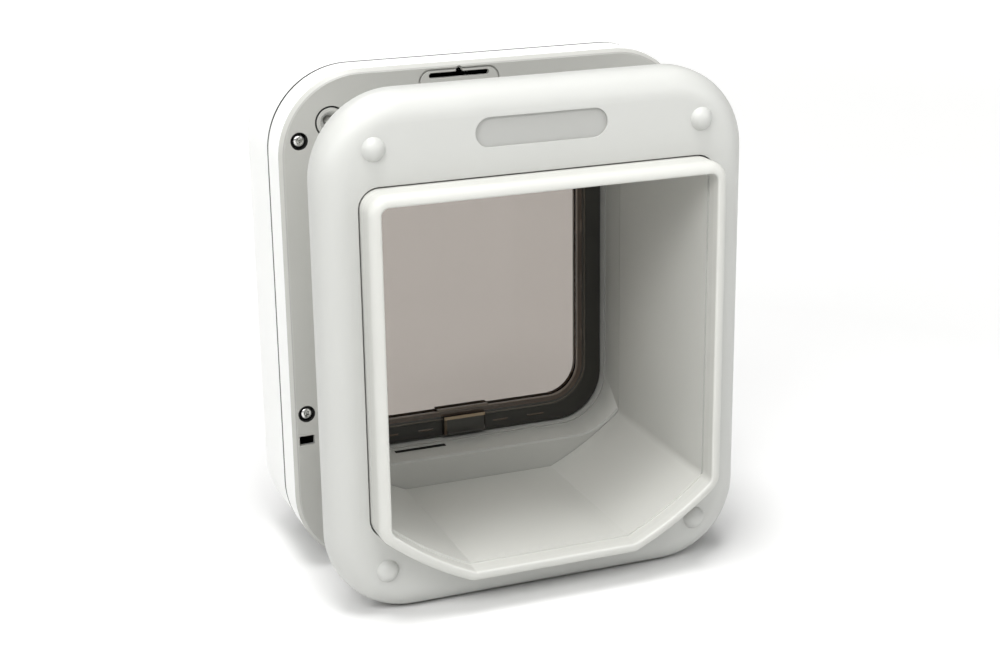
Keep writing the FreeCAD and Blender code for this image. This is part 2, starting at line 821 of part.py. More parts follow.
# Rotary lock: a knob in the room turns a shaft with two sectors, one each side of the flap
def lock_disc(y, lobe_angle):
    hub = rod(lock_x, lock_z, lock_hub, y, y + lock_disc_wall)
    centre = V(lock_x, y, lock_z)
    lobe = Part.makeCylinder(lock_disc_radius, lock_disc_wall, V(0, 0, 0), V(0, 0, 1), lock_sector)
    lobe.rotate(V(0, 0, 0), V(0, 0, 1), lobe_angle - lock_sector / 2)
    lobe.rotate(V(0, 0, 0), V(1, 0, 0), 90)
    lobe.translate(centre + V(0, lock_disc_wall, 0))
    disc = hub.fuse(lobe)
    return disc.cut(shaft_profile(y, y + lock_disc_wall, 0)).removeSplitter()


def shaft_profile(y0, y1, grow):
    # A round shaft with one flat, so that what sits on it turns with it.
    shaft = rod(lock_x, lock_z, shaft_radius + grow, y0, y1)
    flat = box(lock_x - shaft_radius - 1, lock_x + shaft_radius + 1, y0, y1,
               lock_z + shaft_radius - shaft_flat + grow, lock_z + shaft_radius + 1)
    return shaft.cut(flat)


def make_lock_shaft():
    journal = rod(lock_x, lock_z, shaft_radius, bearing_y, exit_disc_y)
    keyed = shaft_profile(exit_disc_y, cover_inside, 0)
    neck = rod(lock_x, lock_z, shaft_radius, cover_inside, cover_face)
    tip = shaft_profile(cover_face, cover_face + knob_height - knob_base, 0)
    return journal.fuse([keyed, neck, tip]).removeSplitter()


def make_lock_knob():
    y0 = cover_face - knob_recess_depth + knob_gap
    base = rod(lock_x, lock_z, knob_radius, y0, cover_face + knob_base)
    base = base.makeFillet(knob_gap, edges_on(base, cover_face + knob_base))
    grip = box(lock_x - knob_grip_wall / 2, lock_x + knob_grip_wall / 2, cover_face,
               cover_face + knob_height, lock_z - knob_radius, lock_z + knob_radius)
    round_grip = rod(lock_x, lock_z, knob_radius - knob_gap, cover_face, cover_face + knob_height)
    grip = grip.common(round_grip)
    knob = base.fuse(grip).removeSplitter()
    neck = rod(lock_x, lock_z, shaft_radius, y0, cover_face)
    hole = shaft_profile(cover_face, cover_face + knob_height - knob_base, 0)
    return knob.cut(neck).cut(hole)


# Entry latch
def make_latch_bolt():
    blade = box(latch_x - latch_half, latch_x + latch_half, latch_y, latch_y + latch_wall,
                latch_bottom, latch_top)
    foot = box(latch_x - latch_half, latch_x + latch_half, solenoid_y - plunger_radius,
               latch_y + latch_wall, latch_bottom, latch_bottom + latch_foot)
    plunger = upright_rod(latch_x, solenoid_y, plunger_radius,
                          solenoid_base + solenoid_wall + plunger_end_gap, latch_bottom)
    return blade.fuse([foot, plunger]).removeSplitter()


def make_latch_solenoid():
    body = box(latch_x - solenoid_half, latch_x + solenoid_half, solenoid_y - solenoid_depth / 2,
               solenoid_y + solenoid_depth / 2, solenoid_base, solenoid_top)
    bore = upright_rod(latch_x, solenoid_y, plunger_radius + plunger_gap,
                       solenoid_base + solenoid_wall, solenoid_top)
    return body.cut(bore)


# Electronics
def make_circuit_board():
    board_y = cover_inside - board_from_cover
    board = box(board_left, board_right, board_y, board_y + board_wall,
                floor_inside, board_top)
    for x in button_places:
        board = board.fuse(box(x - switch_half, x + switch_half, board_y + board_wall,
                               board_y + board_wall + switch_height,
                               button_z - switch_half, button_z + switch_half))
    return board.removeSplitter()


def make_button(x):
    board_front = cover_inside - board_from_cover + board_wall
    inner_end = board_front + switch_height + button_switch_gap
    flange_front = cover_inside - fit_gap
    cap = rod(x, button_z, button_radius, inner_end, cover_face + button_proud)
    cap = cap.makeFillet(button_gap, edges_on(cap, cover_face + button_proud))
    flange = rod(x, button_z, button_flange, flange_front - button_flange_wall, flange_front)
    return cap.fuse(flange).removeSplitter()


def make_status_lens():
    return rod(board_middle, lens_z, lens_radius, cover_face - lens_length, cover_face)


def make_reader_coil():
    return opening_ring(coil_inner, coil_outer, back_face + coil_start,
                        back_face + coil_start + coil_depth)


# Battery box
def tray_floor():
    return lid_bottom - tray_wall - cell_gap


def cell_places():
    # Two cells deep and two long, with the back row nearest the room.
    reach = cell_radius + cell_gap / 2
    middle = cover_inside - tray_wall - cell_gap - 2 * reach
    places = []
    for side in (-1, 1):
        for row in (-1, 1):
            places.append((side, middle + row * reach))
    return places


def make_batteries():
    z = tray_floor() + tray_wall + cell_gap + cell_radius
    cells = []
    for side, y in cell_places():
        near = cell_gap
        can = cross_rod(y, z, cell_radius, near, near + cell_length - cell_nub_length)
        nub = cross_rod(y, z, cell_nub, near + cell_length - cell_nub_length, near + cell_length)
        cell = can.fuse(nub)
        cells.append(cell if side > 0 else mirrored(cell))
    return Part.makeCompound(cells)


def tray_reach():
    return cell_length + 2 * cell_gap + contact_wall + tray_wall + cell_gap


def make_battery_contacts():
    z = tray_floor() + tray_wall + cell_gap + cell_radius
    start = cell_length + 2 * cell_gap
    plates = []
    for side, y in cell_places():
        plate = box(start, start + contact_wall, y - contact_half, y + contact_half,
                    z - contact_half, z + contact_half)
        plates.append(plate if side > 0 else mirrored(plate))
    return Part.makeCompound(plates)


def make_battery_tray():
    base = tray_floor()
    reach = tray_reach()
    y1 = cover_inside
    y0 = y1 - 2 * tray_wall - 4 * cell_radius - 3 * cell_gap
    block = box(-reach, reach, y0, y1, base, base + tray_wall + cell_gap + tray_side_height)
    hollow = box(-reach + tray_wall, reach - tray_wall, y0 + tray_wall, y1 - tray_wall,
                 base + tray_wall, base + tray_wall + cell_gap + tray_side_height)
    tray = block.cut(hollow)
    roof = surround_top + surround_wall
    leg_start = ledge_end + fit_gap
    for side in (-1, 1):
        x = side * (reach - tray_wall / 2)
        leg = box(x - tray_wall / 2, x + tray_wall / 2, leg_start, y1, roof, base + tray_wall)
        tray = tray.fuse(leg)
    return tray.removeSplitter()


def make_battery_cover():
    # The lid wraps over the housing's top edge, so it takes the same rounding.
    half = lid_half - lid_gap
    top = frame_top
    y0 = cover_face - lid_depth + lid_gap
    z0 = lid_bottom + lid_gap
    block = box(-half, half, y0, cover_face, z0, top)
    edge = []
    for item in block.Edges:
        bounds = item.BoundBox
        if bounds.YMin > cover_face - 0.001 and bounds.ZMin > top - 0.001:
            edge.append(item)
    block = block.makeFillet(cover_edge, edge)
    hollow = box(-half, half, y0, cover_face - lid_wall, z0, top - lid_wall)
    edge = []
    for item in hollow.Edges:
        bounds = item.BoundBox
        if bounds.YMin > cover_face - lid_wall - 0.001 and bounds.ZMin > top - lid_wall - 0.001:
            edge.append(item)
    hollow = hollow.makeFillet(cover_edge - lid_wall, edge)
    lid = block.cut(hollow)
    lid = lid.makeFillet(lid_corner, upright_edges(lid, y0))
    for place in range(lid_ribs):
        z = z0 + lid_corner + place * lid_rib_pitch
        lid = lid.fuse(box(-lid_rib_half, lid_rib_half, cover_face - lid_wall / 2,
                           cover_face + lid_rib_proud, z, z + lid_rib_wall))
    return lid.removeSplitter()


# Fasteners
def make_fixing_screws():
    screws = []
    for x, z in fixing_places():
        shank = rod(x, z, fixing_radius, -fixing_bite, seat_y)
        head = rod(x, z, fixing_head_radius, seat_y, seat_y + fixing_head_height)
        screws.append(shank.fuse(head))
    return Part.makeCompound(screws)


def make_screw_caps():
    caps = []
    for x, z in fixing_places():
        plug = rod(x, z, well_bore - thread_gap, cover_face - cap_height, cover_face + cap_dome)
        caps.append(plug.makeFillet(cap_dome, edges_on(plug, cover_face + cap_dome)))
    return Part.makeCompound(caps)


def make_housing_screws():
    screws = []
    seat = back_face + joint_recess_depth
    for x, z in joint_places():
        head = rod(x, z, joint_head_radius, seat - joint_head_height, seat)
        shank = rod(x, z, joint_screw_radius, seat, seat + joint_screw_length)
        screws.append(head.fuse(shank))
    return Part.makeCompound(screws)


os.makedirs("parts", exist_ok=True)
save("outer_frame", make_outer_frame())
save("entry_tunnel", make_entry_tunnel())
save("housing_back", make_housing_back())
save("housing_cover", make_housing_cover())
save("flap_surround", make_flap_surround())
save("sill_magnet", make_sill_magnet())
save("flap_frame", make_flap_frame())
save("flap_pane", make_flap_pane())
save("flap_seal", make_flap_seal())
save("flap_magnet", magnet_block(groove_gap))
save("hinge_pins", make_hinge_pins())
save("exit_lock_disc", lock_disc(exit_disc_y, exit_lobe_angle))
save("entry_lock_disc", lock_disc(entry_disc_y, entry_lobe_angle))
save("lock_shaft", make_lock_shaft())
save("lock_knob", make_lock_knob())
save("latch_bolt", make_latch_bolt())
save("latch_solenoid", make_latch_solenoid())
save("circuit_board", make_circuit_board())
save("learn_button", make_button(button_places[0]))
save("mode_button", make_button(button_places[1]))
save("status_lens", make_status_lens())
save("reader_coil", make_reader_coil())
save("batteries", make_batteries())
save("battery_contacts", make_battery_contacts())
save("battery_tray", make_battery_tray())
save("battery_cover", make_battery_cover())
save("fixing_screws", make_fixing_screws())
save("screw_caps", make_screw_caps())
save("housing_screws", make_housing_screws())
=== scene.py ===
import bpy
import bmesh
import math
from mathutils import Matrix, Vector


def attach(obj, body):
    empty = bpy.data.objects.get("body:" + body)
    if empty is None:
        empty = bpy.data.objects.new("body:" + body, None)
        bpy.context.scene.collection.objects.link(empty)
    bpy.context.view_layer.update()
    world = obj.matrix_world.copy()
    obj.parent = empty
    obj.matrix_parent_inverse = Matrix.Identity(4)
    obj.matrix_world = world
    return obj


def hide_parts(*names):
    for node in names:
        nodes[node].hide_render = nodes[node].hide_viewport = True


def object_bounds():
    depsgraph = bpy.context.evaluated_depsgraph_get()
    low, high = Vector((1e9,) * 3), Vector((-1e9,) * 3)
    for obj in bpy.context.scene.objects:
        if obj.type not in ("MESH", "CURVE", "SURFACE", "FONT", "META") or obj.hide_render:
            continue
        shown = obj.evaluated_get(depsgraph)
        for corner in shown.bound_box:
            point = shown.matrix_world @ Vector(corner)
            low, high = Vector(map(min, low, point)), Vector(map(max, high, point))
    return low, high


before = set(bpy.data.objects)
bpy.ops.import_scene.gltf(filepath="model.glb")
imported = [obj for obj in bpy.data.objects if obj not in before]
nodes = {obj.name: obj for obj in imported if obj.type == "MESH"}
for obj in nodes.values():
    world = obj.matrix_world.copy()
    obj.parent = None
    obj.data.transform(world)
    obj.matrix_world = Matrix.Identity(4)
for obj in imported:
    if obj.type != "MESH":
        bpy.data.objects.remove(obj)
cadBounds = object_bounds()
scene = bpy.context.scene
print("cat flap: frame loaded,", len(nodes), "nodes")


# Camera, at the photograph's viewing angle
cameraSet = {
    "place": (-0.2992, -0.7404, 0.2603),
    "heading": 21.036,   # degrees to the right of straight ahead
    "tilt": 17.994,      # degrees down
    "roll": -0.813,      # degrees
    "lens": 67.14,       # millimetres, and so is the sensor
    "sensor": 36.0,
    "nearest": 0.01,
}


def makeCamera(setup):
    heading = math.radians(setup["heading"])
    tilt = math.radians(setup["tilt"])
    roll = math.radians(setup["roll"])
    ahead = Vector((math.sin(heading) * math.cos(tilt), math.cos(heading) * math.cos(tilt),
                    -math.sin(tilt)))
    level = Vector((math.cos(heading), -math.sin(heading), 0))
    above = level.cross(ahead)
    right = level * math.cos(roll) + above * math.sin(roll)
    up = above * math.cos(roll) - level * math.sin(roll)
    data = bpy.data.cameras.new("photoCamera")
    data.sensor_width = setup["sensor"]
    data.lens = setup["lens"]
    data.clip_start = setup["nearest"]
    camera = bpy.data.objects.new("photoCamera", data)
    scene.collection.objects.link(camera)
    turn = Matrix((right, up, -ahead)).transposed()
    camera.matrix_world = Matrix.Translation(setup["place"]) @ turn.to_4x4()
    scene.camera = camera


makeCamera(cameraSet)
print("cat flap: camera placed")


# Node helpers that the finishes share
def newFinish(name):
    finish = bpy.data.materials.new(name)
    finish.use_nodes = True
    tree = finish.node_tree
    shader = tree.nodes["Principled BSDF"]
    return finish, tree, shader


def objectPlace(tree):
    return tree.nodes.new("ShaderNodeTexCoord").outputs["Object"]


def noise(tree, scale, detail=2.0, rough=0.5):
    node = tree.nodes.new("ShaderNodeTexNoise")
    node.inputs["Scale"].default_value = scale
    node.inputs["Detail"].default_value = detail
    node.inputs["Roughness"].default_value = rough
    tree.links.new(objectPlace(tree), node.inputs["Vector"])
    return node.outputs["Fac"]


# Dark tint where the source is low, light tint where it is high
def tints(tree, source, dark, light, darkAt=0.3, lightAt=0.7):
    node = tree.nodes.new("ShaderNodeValToRGB")
    for stop, position, colour in zip(node.color_ramp.elements, (darkAt, lightAt), (dark, light)):
        stop.position = position
        stop.color = (*colour, 1)
    tree.links.new(source, node.inputs["Fac"])
    return node.outputs["Color"]


def spread(tree, source, low, high, start=0.0, end=1.0):
    node = tree.nodes.new("ShaderNodeMapRange")
    for socket, value in (("From Min", start), ("From Max", end), ("To Min", low),
                          ("To Max", high)):
        node.inputs[socket].default_value = value
    tree.links.new(source, node.inputs["Value"])
    return node.outputs["Result"]


def bump(tree, source, strength, height, under=None):
    node = tree.nodes.new("ShaderNodeBump")
    node.inputs["Strength"].default_value = strength
    node.inputs["Distance"].default_value = height
    tree.links.new(source, node.inputs["Height"])
    if under is not None:
        tree.links.new(under, node.inputs["Normal"])
    return node.outputs["Normal"]


edgeSamples = 6


def softEdge(tree, radius):
    node = tree.nodes.new("ShaderNodeBevel")
    node.samples = edgeSamples
    node.inputs["Radius"].default_value = radius
    return node.outputs["Normal"]


def blendTones(tree, share, first, second):
    node = tree.nodes.new("ShaderNodeMix")
    node.data_type = "RGBA"
    tree.links.new(share, node.inputs["Factor"])
    tree.links.new(first, node.inputs["A"])
    tree.links.new(second, node.inputs["B"])
    return node.outputs["Result"]


def axis(tree, letter):
    node = tree.nodes.new("ShaderNodeSeparateXYZ")
    tree.links.new(objectPlace(tree), node.inputs["Vector"])
    return node.outputs[letter]


def maths(tree, action, first, second=0.0):
    node = tree.nodes.new("ShaderNodeMath")
    node.operation = action
    for socket, value in zip(node.inputs, (first, second)):
        if isinstance(value, float):
            socket.default_value = value
        else:
            tree.links.new(value, socket)
    return node.outputs["Value"]


def distance(tree, across, up):
    squares = [maths(tree, "MULTIPLY", part, part) for part in (across, up)]
    return maths(tree, "POWER", maths(tree, "ADD", *squares), 0.5)


# Moulded plastic: two close tints, a fine grain and slightly uneven gloss
mouldSet = {
    "cloudDetail": 3.0,
    "glossPerCloud": 4,   # the gloss changes over shorter lengths than the tint
    "grainDetail": 4.0,
    "grainRough": 0.6,
    "grainHeight": 0.0004,
    "ior": 1.5,
}
plasticSets = {
    "frameWhite": {"light": (0.508, 0.513, 0.492), "dark": (0.492, 0.496, 0.476), "cloud": 12,
                   "smooth": 0.36, "rough": 0.46, "grain": 2600, "depth": 0.10, "edge": 0.0003},
    "tunnelWhite": {"light": (0.540, 0.542, 0.512), "dark": (0.522, 0.524, 0.494), "cloud": 16,
                    "smooth": 0.42, "rough": 0.54, "grain": 2200, "depth": 0.14, "edge": 0.0003},
    "coverWhite": {"light": (0.86, 0.865, 0.85), "dark": (0.84, 0.845, 0.83), "cloud": 10,
                   "smooth": 0.34, "rough": 0.44, "grain": 2600, "depth": 0.09, "edge": 0.0003},
    "backGrey": {"light": (0.443, 0.443, 0.418), "dark": (0.427, 0.427, 0.402), "cloud": 14,
                 "smooth": 0.40, "rough": 0.52, "grain": 2400, "depth": 0.12, "edge": 0.0003},
    "surroundGrey": {"light": (0.535, 0.537, 0.507), "dark": (0.518, 0.520, 0.490), "cloud": 18,
                     "smooth": 0.40, "rough": 0.52, "grain": 2300, "depth": 0.12},
    "knobGrey": {"light": (0.40, 0.40, 0.39), "dark": (0.37, 0.37, 0.36), "cloud": 30,
                 "smooth": 0.32, "rough": 0.44, "grain": 3000, "depth": 0.12, "edge": 0.0003},
    "trayBlack": {"light": (0.05, 0.05, 0.05), "dark": (0.035, 0.035, 0.035), "cloud": 20,
                  "smooth": 0.45, "rough": 0.6, "grain": 2200, "depth": 0.2},
    "lensRed": {"light": (0.55, 0.04, 0.03), "dark": (0.42, 0.03, 0.025), "cloud": 90,
                "smooth": 0.08, "rough": 0.16, "grain": 1200, "depth": 0.02},
    "cellSleeve": {"light": (0.035, 0.038, 0.045), "dark": (0.022, 0.024, 0.03), "cloud": 25,
                   "smooth": 0.18, "rough": 0.30, "grain": 1500, "depth": 0.04},
    "boardGreen": {"light": (0.03, 0.20, 0.07), "dark": (0.02, 0.14, 0.05), "cloud": 220,
                   "smooth": 0.25, "rough": 0.40, "grain": 900, "depth": 0.3},
    "sealDark": {"light": (0.022, 0.0205, 0.0155), "dark": (0.015, 0.0138, 0.0105), "cloud": 60,
                 "smooth": 0.42, "rough": 0.58, "grain": 1800, "depth": 0.2},
}


def mouldedPlastic(name, setup):
    finish, tree, shader = newFinish(name)
    cloud = noise(tree, setup["cloud"], mouldSet["cloudDetail"])
    tree.links.new(tints(tree, cloud, setup["dark"], setup["light"]),
                   shader.inputs["Base Color"])
    gloss = noise(tree, setup["cloud"] * mouldSet["glossPerCloud"])
    tree.links.new(spread(tree, gloss, setup["smooth"], setup["rough"]),
                   shader.inputs["Roughness"])
    grain = noise(tree, setup["grain"], mouldSet["grainDetail"], mouldSet["grainRough"])
    edge = softEdge(tree, setup["edge"]) if "edge" in setup else None
    tree.links.new(bump(tree, grain, setup["depth"], mouldSet["grainHeight"], edge),
                   shader.inputs["Normal"])
    shader.inputs["IOR"].default_value = mouldSet["ior"]
    return finish


plastics = {name: mouldedPlastic(name, setup) for name, setup in plasticSets.items()}


# A second tone, light and dark, on the part of a moulding where share is 1
toneCloud = 18
farAway = 1.0   # metres, past every piece


def addTone(finish, share, light, dark):
    tree = finish.node_tree
    shader = tree.nodes["Principled BSDF"]
    first = shader.inputs["Base Color"].links[0].from_socket
    second = tints(tree, noise(tree, toneCloud), dark, light)
    tree.links.new(blendTones(tree, share, first, second), shader.inputs["Base Color"])


# A mask is 1 inside every one of its limits, each an axis and its lowest and highest place
def inside(tree, *limits):
    share = None
    for letter, low, high in limits:
        source = axis(tree, letter)
        for action, bound in (("GREATER_THAN", low), ("LESS_THAN", high)):
            part = maths(tree, action, source, bound)
            share = part if share is None else maths(tree, "MULTIPLY", share, part)
    return share


# The same for a ring about an axis along Y, on both sides of the middle
def insideRing(tree, spot, inner, outer):
    across = maths(tree, "SUBTRACT", maths(tree, "ABSOLUTE", axis(tree, "X")), spot[0])
    up = maths(tree, "SUBTRACT", axis(tree, "Z"), spot[1])
    away = distance(tree, across, up)
    return maths(tree, "MULTIPLY", maths(tree, "GREATER_THAN", away, inner),
                 maths(tree, "LESS_THAN", away, outer))


def toneInside(finish, tone, *limits):
    addTone(finish, inside(finish.node_tree, *limits), *tone)


# Across and up from the middle: the housing's own screws, and those through the door
housingSpots = ((0.0906, 0.0881), (0.0931, -0.0396), (0.0665, -0.1110))
fixingSpot = (0.0757, 0.09535)

# The housing's back is grey against the door and white round its side, with a darker line, and
# painted shade in its screw wells, in the rings round the screws through the door and along its
# seam with the cover
# Painted shade for wells, rings and seams, where the gaps fall dark
paintedGapShade = ((0.030, 0.030, 0.028), (0.022, 0.022, 0.020))
backSet = {
    "side": ("Y", 0.0471, farAway),
    "sideTone": (plasticSets["coverWhite"]["light"], plasticSets["coverWhite"]["dark"]),
    "line": ("Y", 0.04506, 0.0456),
    "lineTone": ((0.34, 0.34, 0.32), (0.31, 0.31, 0.29)),
    "below": ("Y", 0.0452, farAway),   # under the face, inside a well or a ring
    "wellRadius": 0.0042,
    "ringFrom": 0.0064,
    "ringTo": 0.0076,
    "seam": ("Y", 0.0643, 0.0653),
}


def toneBack(finish, setup):
    tree = finish.node_tree
    toneInside(finish, setup["sideTone"], setup["side"])
    toneInside(finish, setup["lineTone"], setup["line"])
    below = inside(tree, setup["below"])
    # Painted shade in each screw well
    for spot in housingSpots:
        well = insideRing(tree, spot, -farAway, setup["wellRadius"])
        addTone(finish, maths(tree, "MULTIPLY", below, well), *paintedGapShade)
    # Painted shade in the ring round each screw through the door
    for level in (1, -1):
        spot = (fixingSpot[0], level * fixingSpot[1])
        ring = insideRing(tree, spot, setup["ringFrom"], setup["ringTo"])
        addTone(finish, maths(tree, "MULTIPLY", below, ring), *paintedGapShade)
    # Painted shade along the seam with the cover
    toneInside(finish, paintedGapShade, setup["seam"])


toneBack(plastics["backGrey"], backSet)

# The cover has painted shade where it meets the back, and is grey along the lid's edge on top
coverSet = {
    "seam": ("Y", 0.0620, 0.0663),
    "lidLine": (("Y", 0.0766, 0.0775), ("X", -0.0580, 0.0580), ("Z", 0.1000, farAway)),
    "lidTone": ((0.42, 0.42, 0.405), (0.39, 0.39, 0.375)),
}
# Painted shade on the cover's band by the seam
toneInside(plastics["coverWhite"], paintedGapShade, coverSet["seam"])
toneInside(plastics["coverWhite"], coverSet["lidTone"], *coverSet["lidLine"])

# The floor of the pill recess is a little greyer than the frame
recessSet = {
    "floor": (("Y", -0.0157, -0.0149), ("X", -0.0306, 0.0306), ("Z", 0.0914, 0.1046)),
    "tone": ((0.40, 0.402, 0.385), (0.37, 0.372, 0.356)),
}
toneInside(plastics["frameWhite"], recessSet["tone"], *recessSet["floor"])

# The tunnel's lip is a little paler than its walls. The step behind the lip hardly shows: its
# face is given painted shade on the walls, which are darker there, and painted light on the
# floor.
tunnelSet = {
    "lip": ("Y", -farAway, -0.0265),
    "lipTone": ((0.562, 0.564, 0.533), (0.545, 0.547, 0.517)),
    "step": ("Y", -0.02206, -0.02194),
    "floorTop": -0.0715,
    # Painted shade for the step on the walls, painted light for it on the floor
    "wallPaintedShade": ((0.385, 0.386, 0.365), (0.372, 0.373, 0.352)),
    "floorTone": ((0.580, 0.582, 0.550), (0.565, 0.567, 0.536)),
}


def toneTunnel(finish, setup):
    toneInside(finish, setup["lipTone"], setup["lip"])
    # Painted shade on the step's face along the walls
    toneInside(finish, setup["wallPaintedShade"], setup["step"], ("Z", setup["floorTop"], farAway))
    # Painted light on the step's face along the floor
    toneInside(finish, setup["floorTone"], setup["step"], ("Z", -farAway, setup["floorTop"]))


toneTunnel(plastics["tunnelWhite"], tunnelSet)

# Painted shade on the surround: its riser is greyer, its edge and the step by the flap are toned
# down, and the edges of the slot for the lock's disc are dark
surroundSet = {
    # Painted shade on the riser, its bevelled edge, the step by the flap and the slot's edges
    "riser": ("Y", -farAway, 0.0701),
    "riserShadeTone": ((0.430, 0.430, 0.405), (0.415, 0.415, 0.390)),
    "bevel": (("Y", 0.0701, 0.0711), ("Z", -farAway, -0.0705)),
    "bevelShadeTone": ((0.400, 0.400, 0.377), (0.385, 0.385, 0.362)),
    "step": ("Y", 0.08794, 0.08806),
    "stepShadeTone": ((0.330, 0.330, 0.311), (0.318, 0.318, 0.299)),
    "slot": (("Y", 0.0822, 0.0858), ("X", -0.0450, -0.0064), ("Z", -0.0840, -0.08122)),
    "slotShadeTone": ((0.020, 0.020, 0.018), (0.014, 0.014, 0.012)),
}


def shadeSurround(finish, setup):
    toneInside(finish, setup["riserShadeTone"], setup["riser"])
    toneInside(finish, setup["bevelShadeTone"], *setup["bevel"])
    toneInside(finish, setup["stepShadeTone"], setup["step"])
    toneInside(finish, setup["slotShadeTone"], *setup["slot"])


shadeSurround(plastics["surroundGrey"], surroundSet)

# Bare metal ends on the cells' dark sleeves
cellSet = {
    "pitch": 0.02515,   # the ends lie at every other multiple of it
    "end": 0.0012,
    "light": (0.62, 0.62, 0.60),
    "dark": (0.50, 0.50, 0.48),
}


def metalEnds(finish, setup):
    tree = finish.node_tree
    fromEnd = maths(tree, "PINGPONG", axis(tree, "X"), setup["pitch"])
    share = maths(tree, "LESS_THAN", fromEnd, setup["end"])
    addTone(finish, share, setup["light"], setup["dark"])


metalEnds(plastics["cellSleeve"], cellSet)


# Smoked plastic of the flap's frame: glossy, dark, amber where it is thin
flapSet = {
    "dark": (0.019, 0.0145, 0.0105), "amber": (0.028, 0.020, 0.014),
    "darkAt": 0.35, "amberAt": 0.75, "cloud": 35, "cloudDetail": 3.0,
    "glossCloud": 120, "smooth": 0.10, "rough": 0.20,
    "ripple": 260, "rippleDepth": 0.04, "rippleHeight": 0.0004, "edge": 0.0003,
    "ior": 1.52, "coat": 0.4,
}
# The clips take a lighter copy of the flap's smoked plastic: a painted highlight
clipHighlightSet = {**flapSet, "dark": (0.050, 0.036, 0.025), "amber": (0.085, 0.060, 0.042), "cloud": 150}


def smokedGloss(name, setup):
    finish, tree, shader = newFinish(name)
    cloud = noise(tree, setup["cloud"], setup["cloudDetail"])
    colour = tints(tree, cloud, setup["dark"], setup["amber"], setup["darkAt"], setup["amberAt"])
    tree.links.new(colour, shader.inputs["Base Color"])
    tree.links.new(spread(tree, noise(tree, setup["glossCloud"]), setup["smooth"],
                          setup["rough"]), shader.inputs["Roughness"])
    tree.links.new(bump(tree, noise(tree, setup["ripple"]), setup["rippleDepth"],
                        setup["rippleHeight"], softEdge(tree, setup["edge"])),
                   shader.inputs["Normal"])
    shader.inputs["IOR"].default_value = setup["ior"]
    shader.inputs["Coat Weight"].default_value = setup["coat"]
    return finish


flapBrown = smokedGloss("flapBrown", flapSet)

# How far a point lies outside the window's rounded outline, below and beside it
windowSet = {"halfWidth": 0.0627, "bottom": -0.0662, "corner": 0.016}


def fromWindow(tree, setup):
    corner = setup["corner"]
    across = maths(tree, "SUBTRACT", maths(tree, "ABSOLUTE", axis(tree, "X")),
                   setup["halfWidth"] - corner)
    down = maths(tree, "SUBTRACT", setup["bottom"] + corner, axis(tree, "Z"))
    outward = distance(tree, *(maths(tree, "MAXIMUM", part, 0.0) for part in (across, down)))
    inward = maths(tree, "MINIMUM", maths(tree, "MAXIMUM", across, down), 0.0)
    return maths(tree, "SUBTRACT", maths(tree, "ADD", outward, inward), corner)


# The bead's inner wall and its face near the pane are brown, painted light shining through the
# smoked plastic, and a paler line along its outer shoulder is a painted highlight. The top and
# left edges of the tab's raised block carry a painted amber highlight, where light gathers in
# them.
beadSet = {
    "rimTo": 0.0003, "rimLitThroughTone": ((0.120, 0.088, 0.062), (0.095, 0.069, 0.048)),
    "front": ("Y", 0.0905, 0.0912),   # the bead's face, where the bands lie
    "brownFrom": 0.0004, "brownTo": 0.0025,
    "brownTone": ((0.062, 0.042, 0.029), (0.048, 0.032, 0.022)),
    "paleFrom": 0.0037, "paleTo": 0.0046,
    "paleTone": ((0.085, 0.074, 0.058), (0.070, 0.060, 0.046)),
    "blockFrom": 0.08756, "blockTo": 0.0887,
    "dimLeftOf": -0.0099, "dimHighlightTone": ((0.11, 0.078, 0.050), (0.085, 0.060, 0.040)),
    "amberAbove": -0.0701, "amberHighlightTone": ((0.33, 0.26, 0.17), (0.27, 0.205, 0.13)),
    "faceTone": ((0.024, 0.0215, 0.016), (0.017, 0.0152, 0.011)),
}


def toneBead(finish, setup):
    tree = finish.node_tree
    front = inside(tree, setup["front"])
    away = fromWindow(tree, windowSet)
    # Painted light: the window's inner wall is brown as if lit through the smoked plastic
    addTone(finish, maths(tree, "LESS_THAN", away, setup["rimTo"]), *setup["rimLitThroughTone"])
    # Painted light through the plastic on the brown band, and a painted highlight on the pale
    # line
    for band in ("brown", "pale"):
        share = maths(tree, "MULTIPLY", maths(tree, "GREATER_THAN", away, setup[band + "From"]),
                      maths(tree, "LESS_THAN", away, setup[band + "To"]))
        addTone(finish, maths(tree, "MULTIPLY", front, share), *setup[band + "Tone"])
    # Painted highlights on the block's top edge and, dimmer, its left edge
    block = ("Y", setup["blockFrom"], setup["blockTo"])
    toneInside(finish, setup["dimHighlightTone"], block, ("X", -farAway, setup["dimLeftOf"]))
    toneInside(finish, setup["amberHighlightTone"], block, ("Z", setup["amberAbove"], farAway))
    toneInside(finish, setup["faceTone"], ("Y", -farAway, setup["blockFrom"]))


toneBead(flapBrown, beadSet)
clipHighlightBrown = smokedGloss("clipHighlightBrown", clipHighlightSet)


# Pane: clear plastic with a warm grey smoke
paneSet = {
    "thin": (0.407, 0.372, 0.342), "thick": (0.391, 0.358, 0.329), "cloud": 6,
    "glossCloud": 40, "smooth": 0.02, "rough": 0.04, "ior": 1.2,
}


def smokedPane(name, setup):
    finish, tree, shader = newFinish(name)
    tree.links.new(tints(tree, noise(tree, setup["cloud"]), setup["thick"], setup["thin"]),
                   shader.inputs["Base Color"])
    tree.links.new(spread(tree, noise(tree, setup["glossCloud"]), setup["smooth"],
                          setup["rough"]), shader.inputs["Roughness"])
    shader.inputs["Transmission Weight"].default_value = 1.0
    shader.inputs["IOR"].default_value = setup["ior"]
    return finish


paneSmoke = smokedPane("paneSmoke", paneSet)


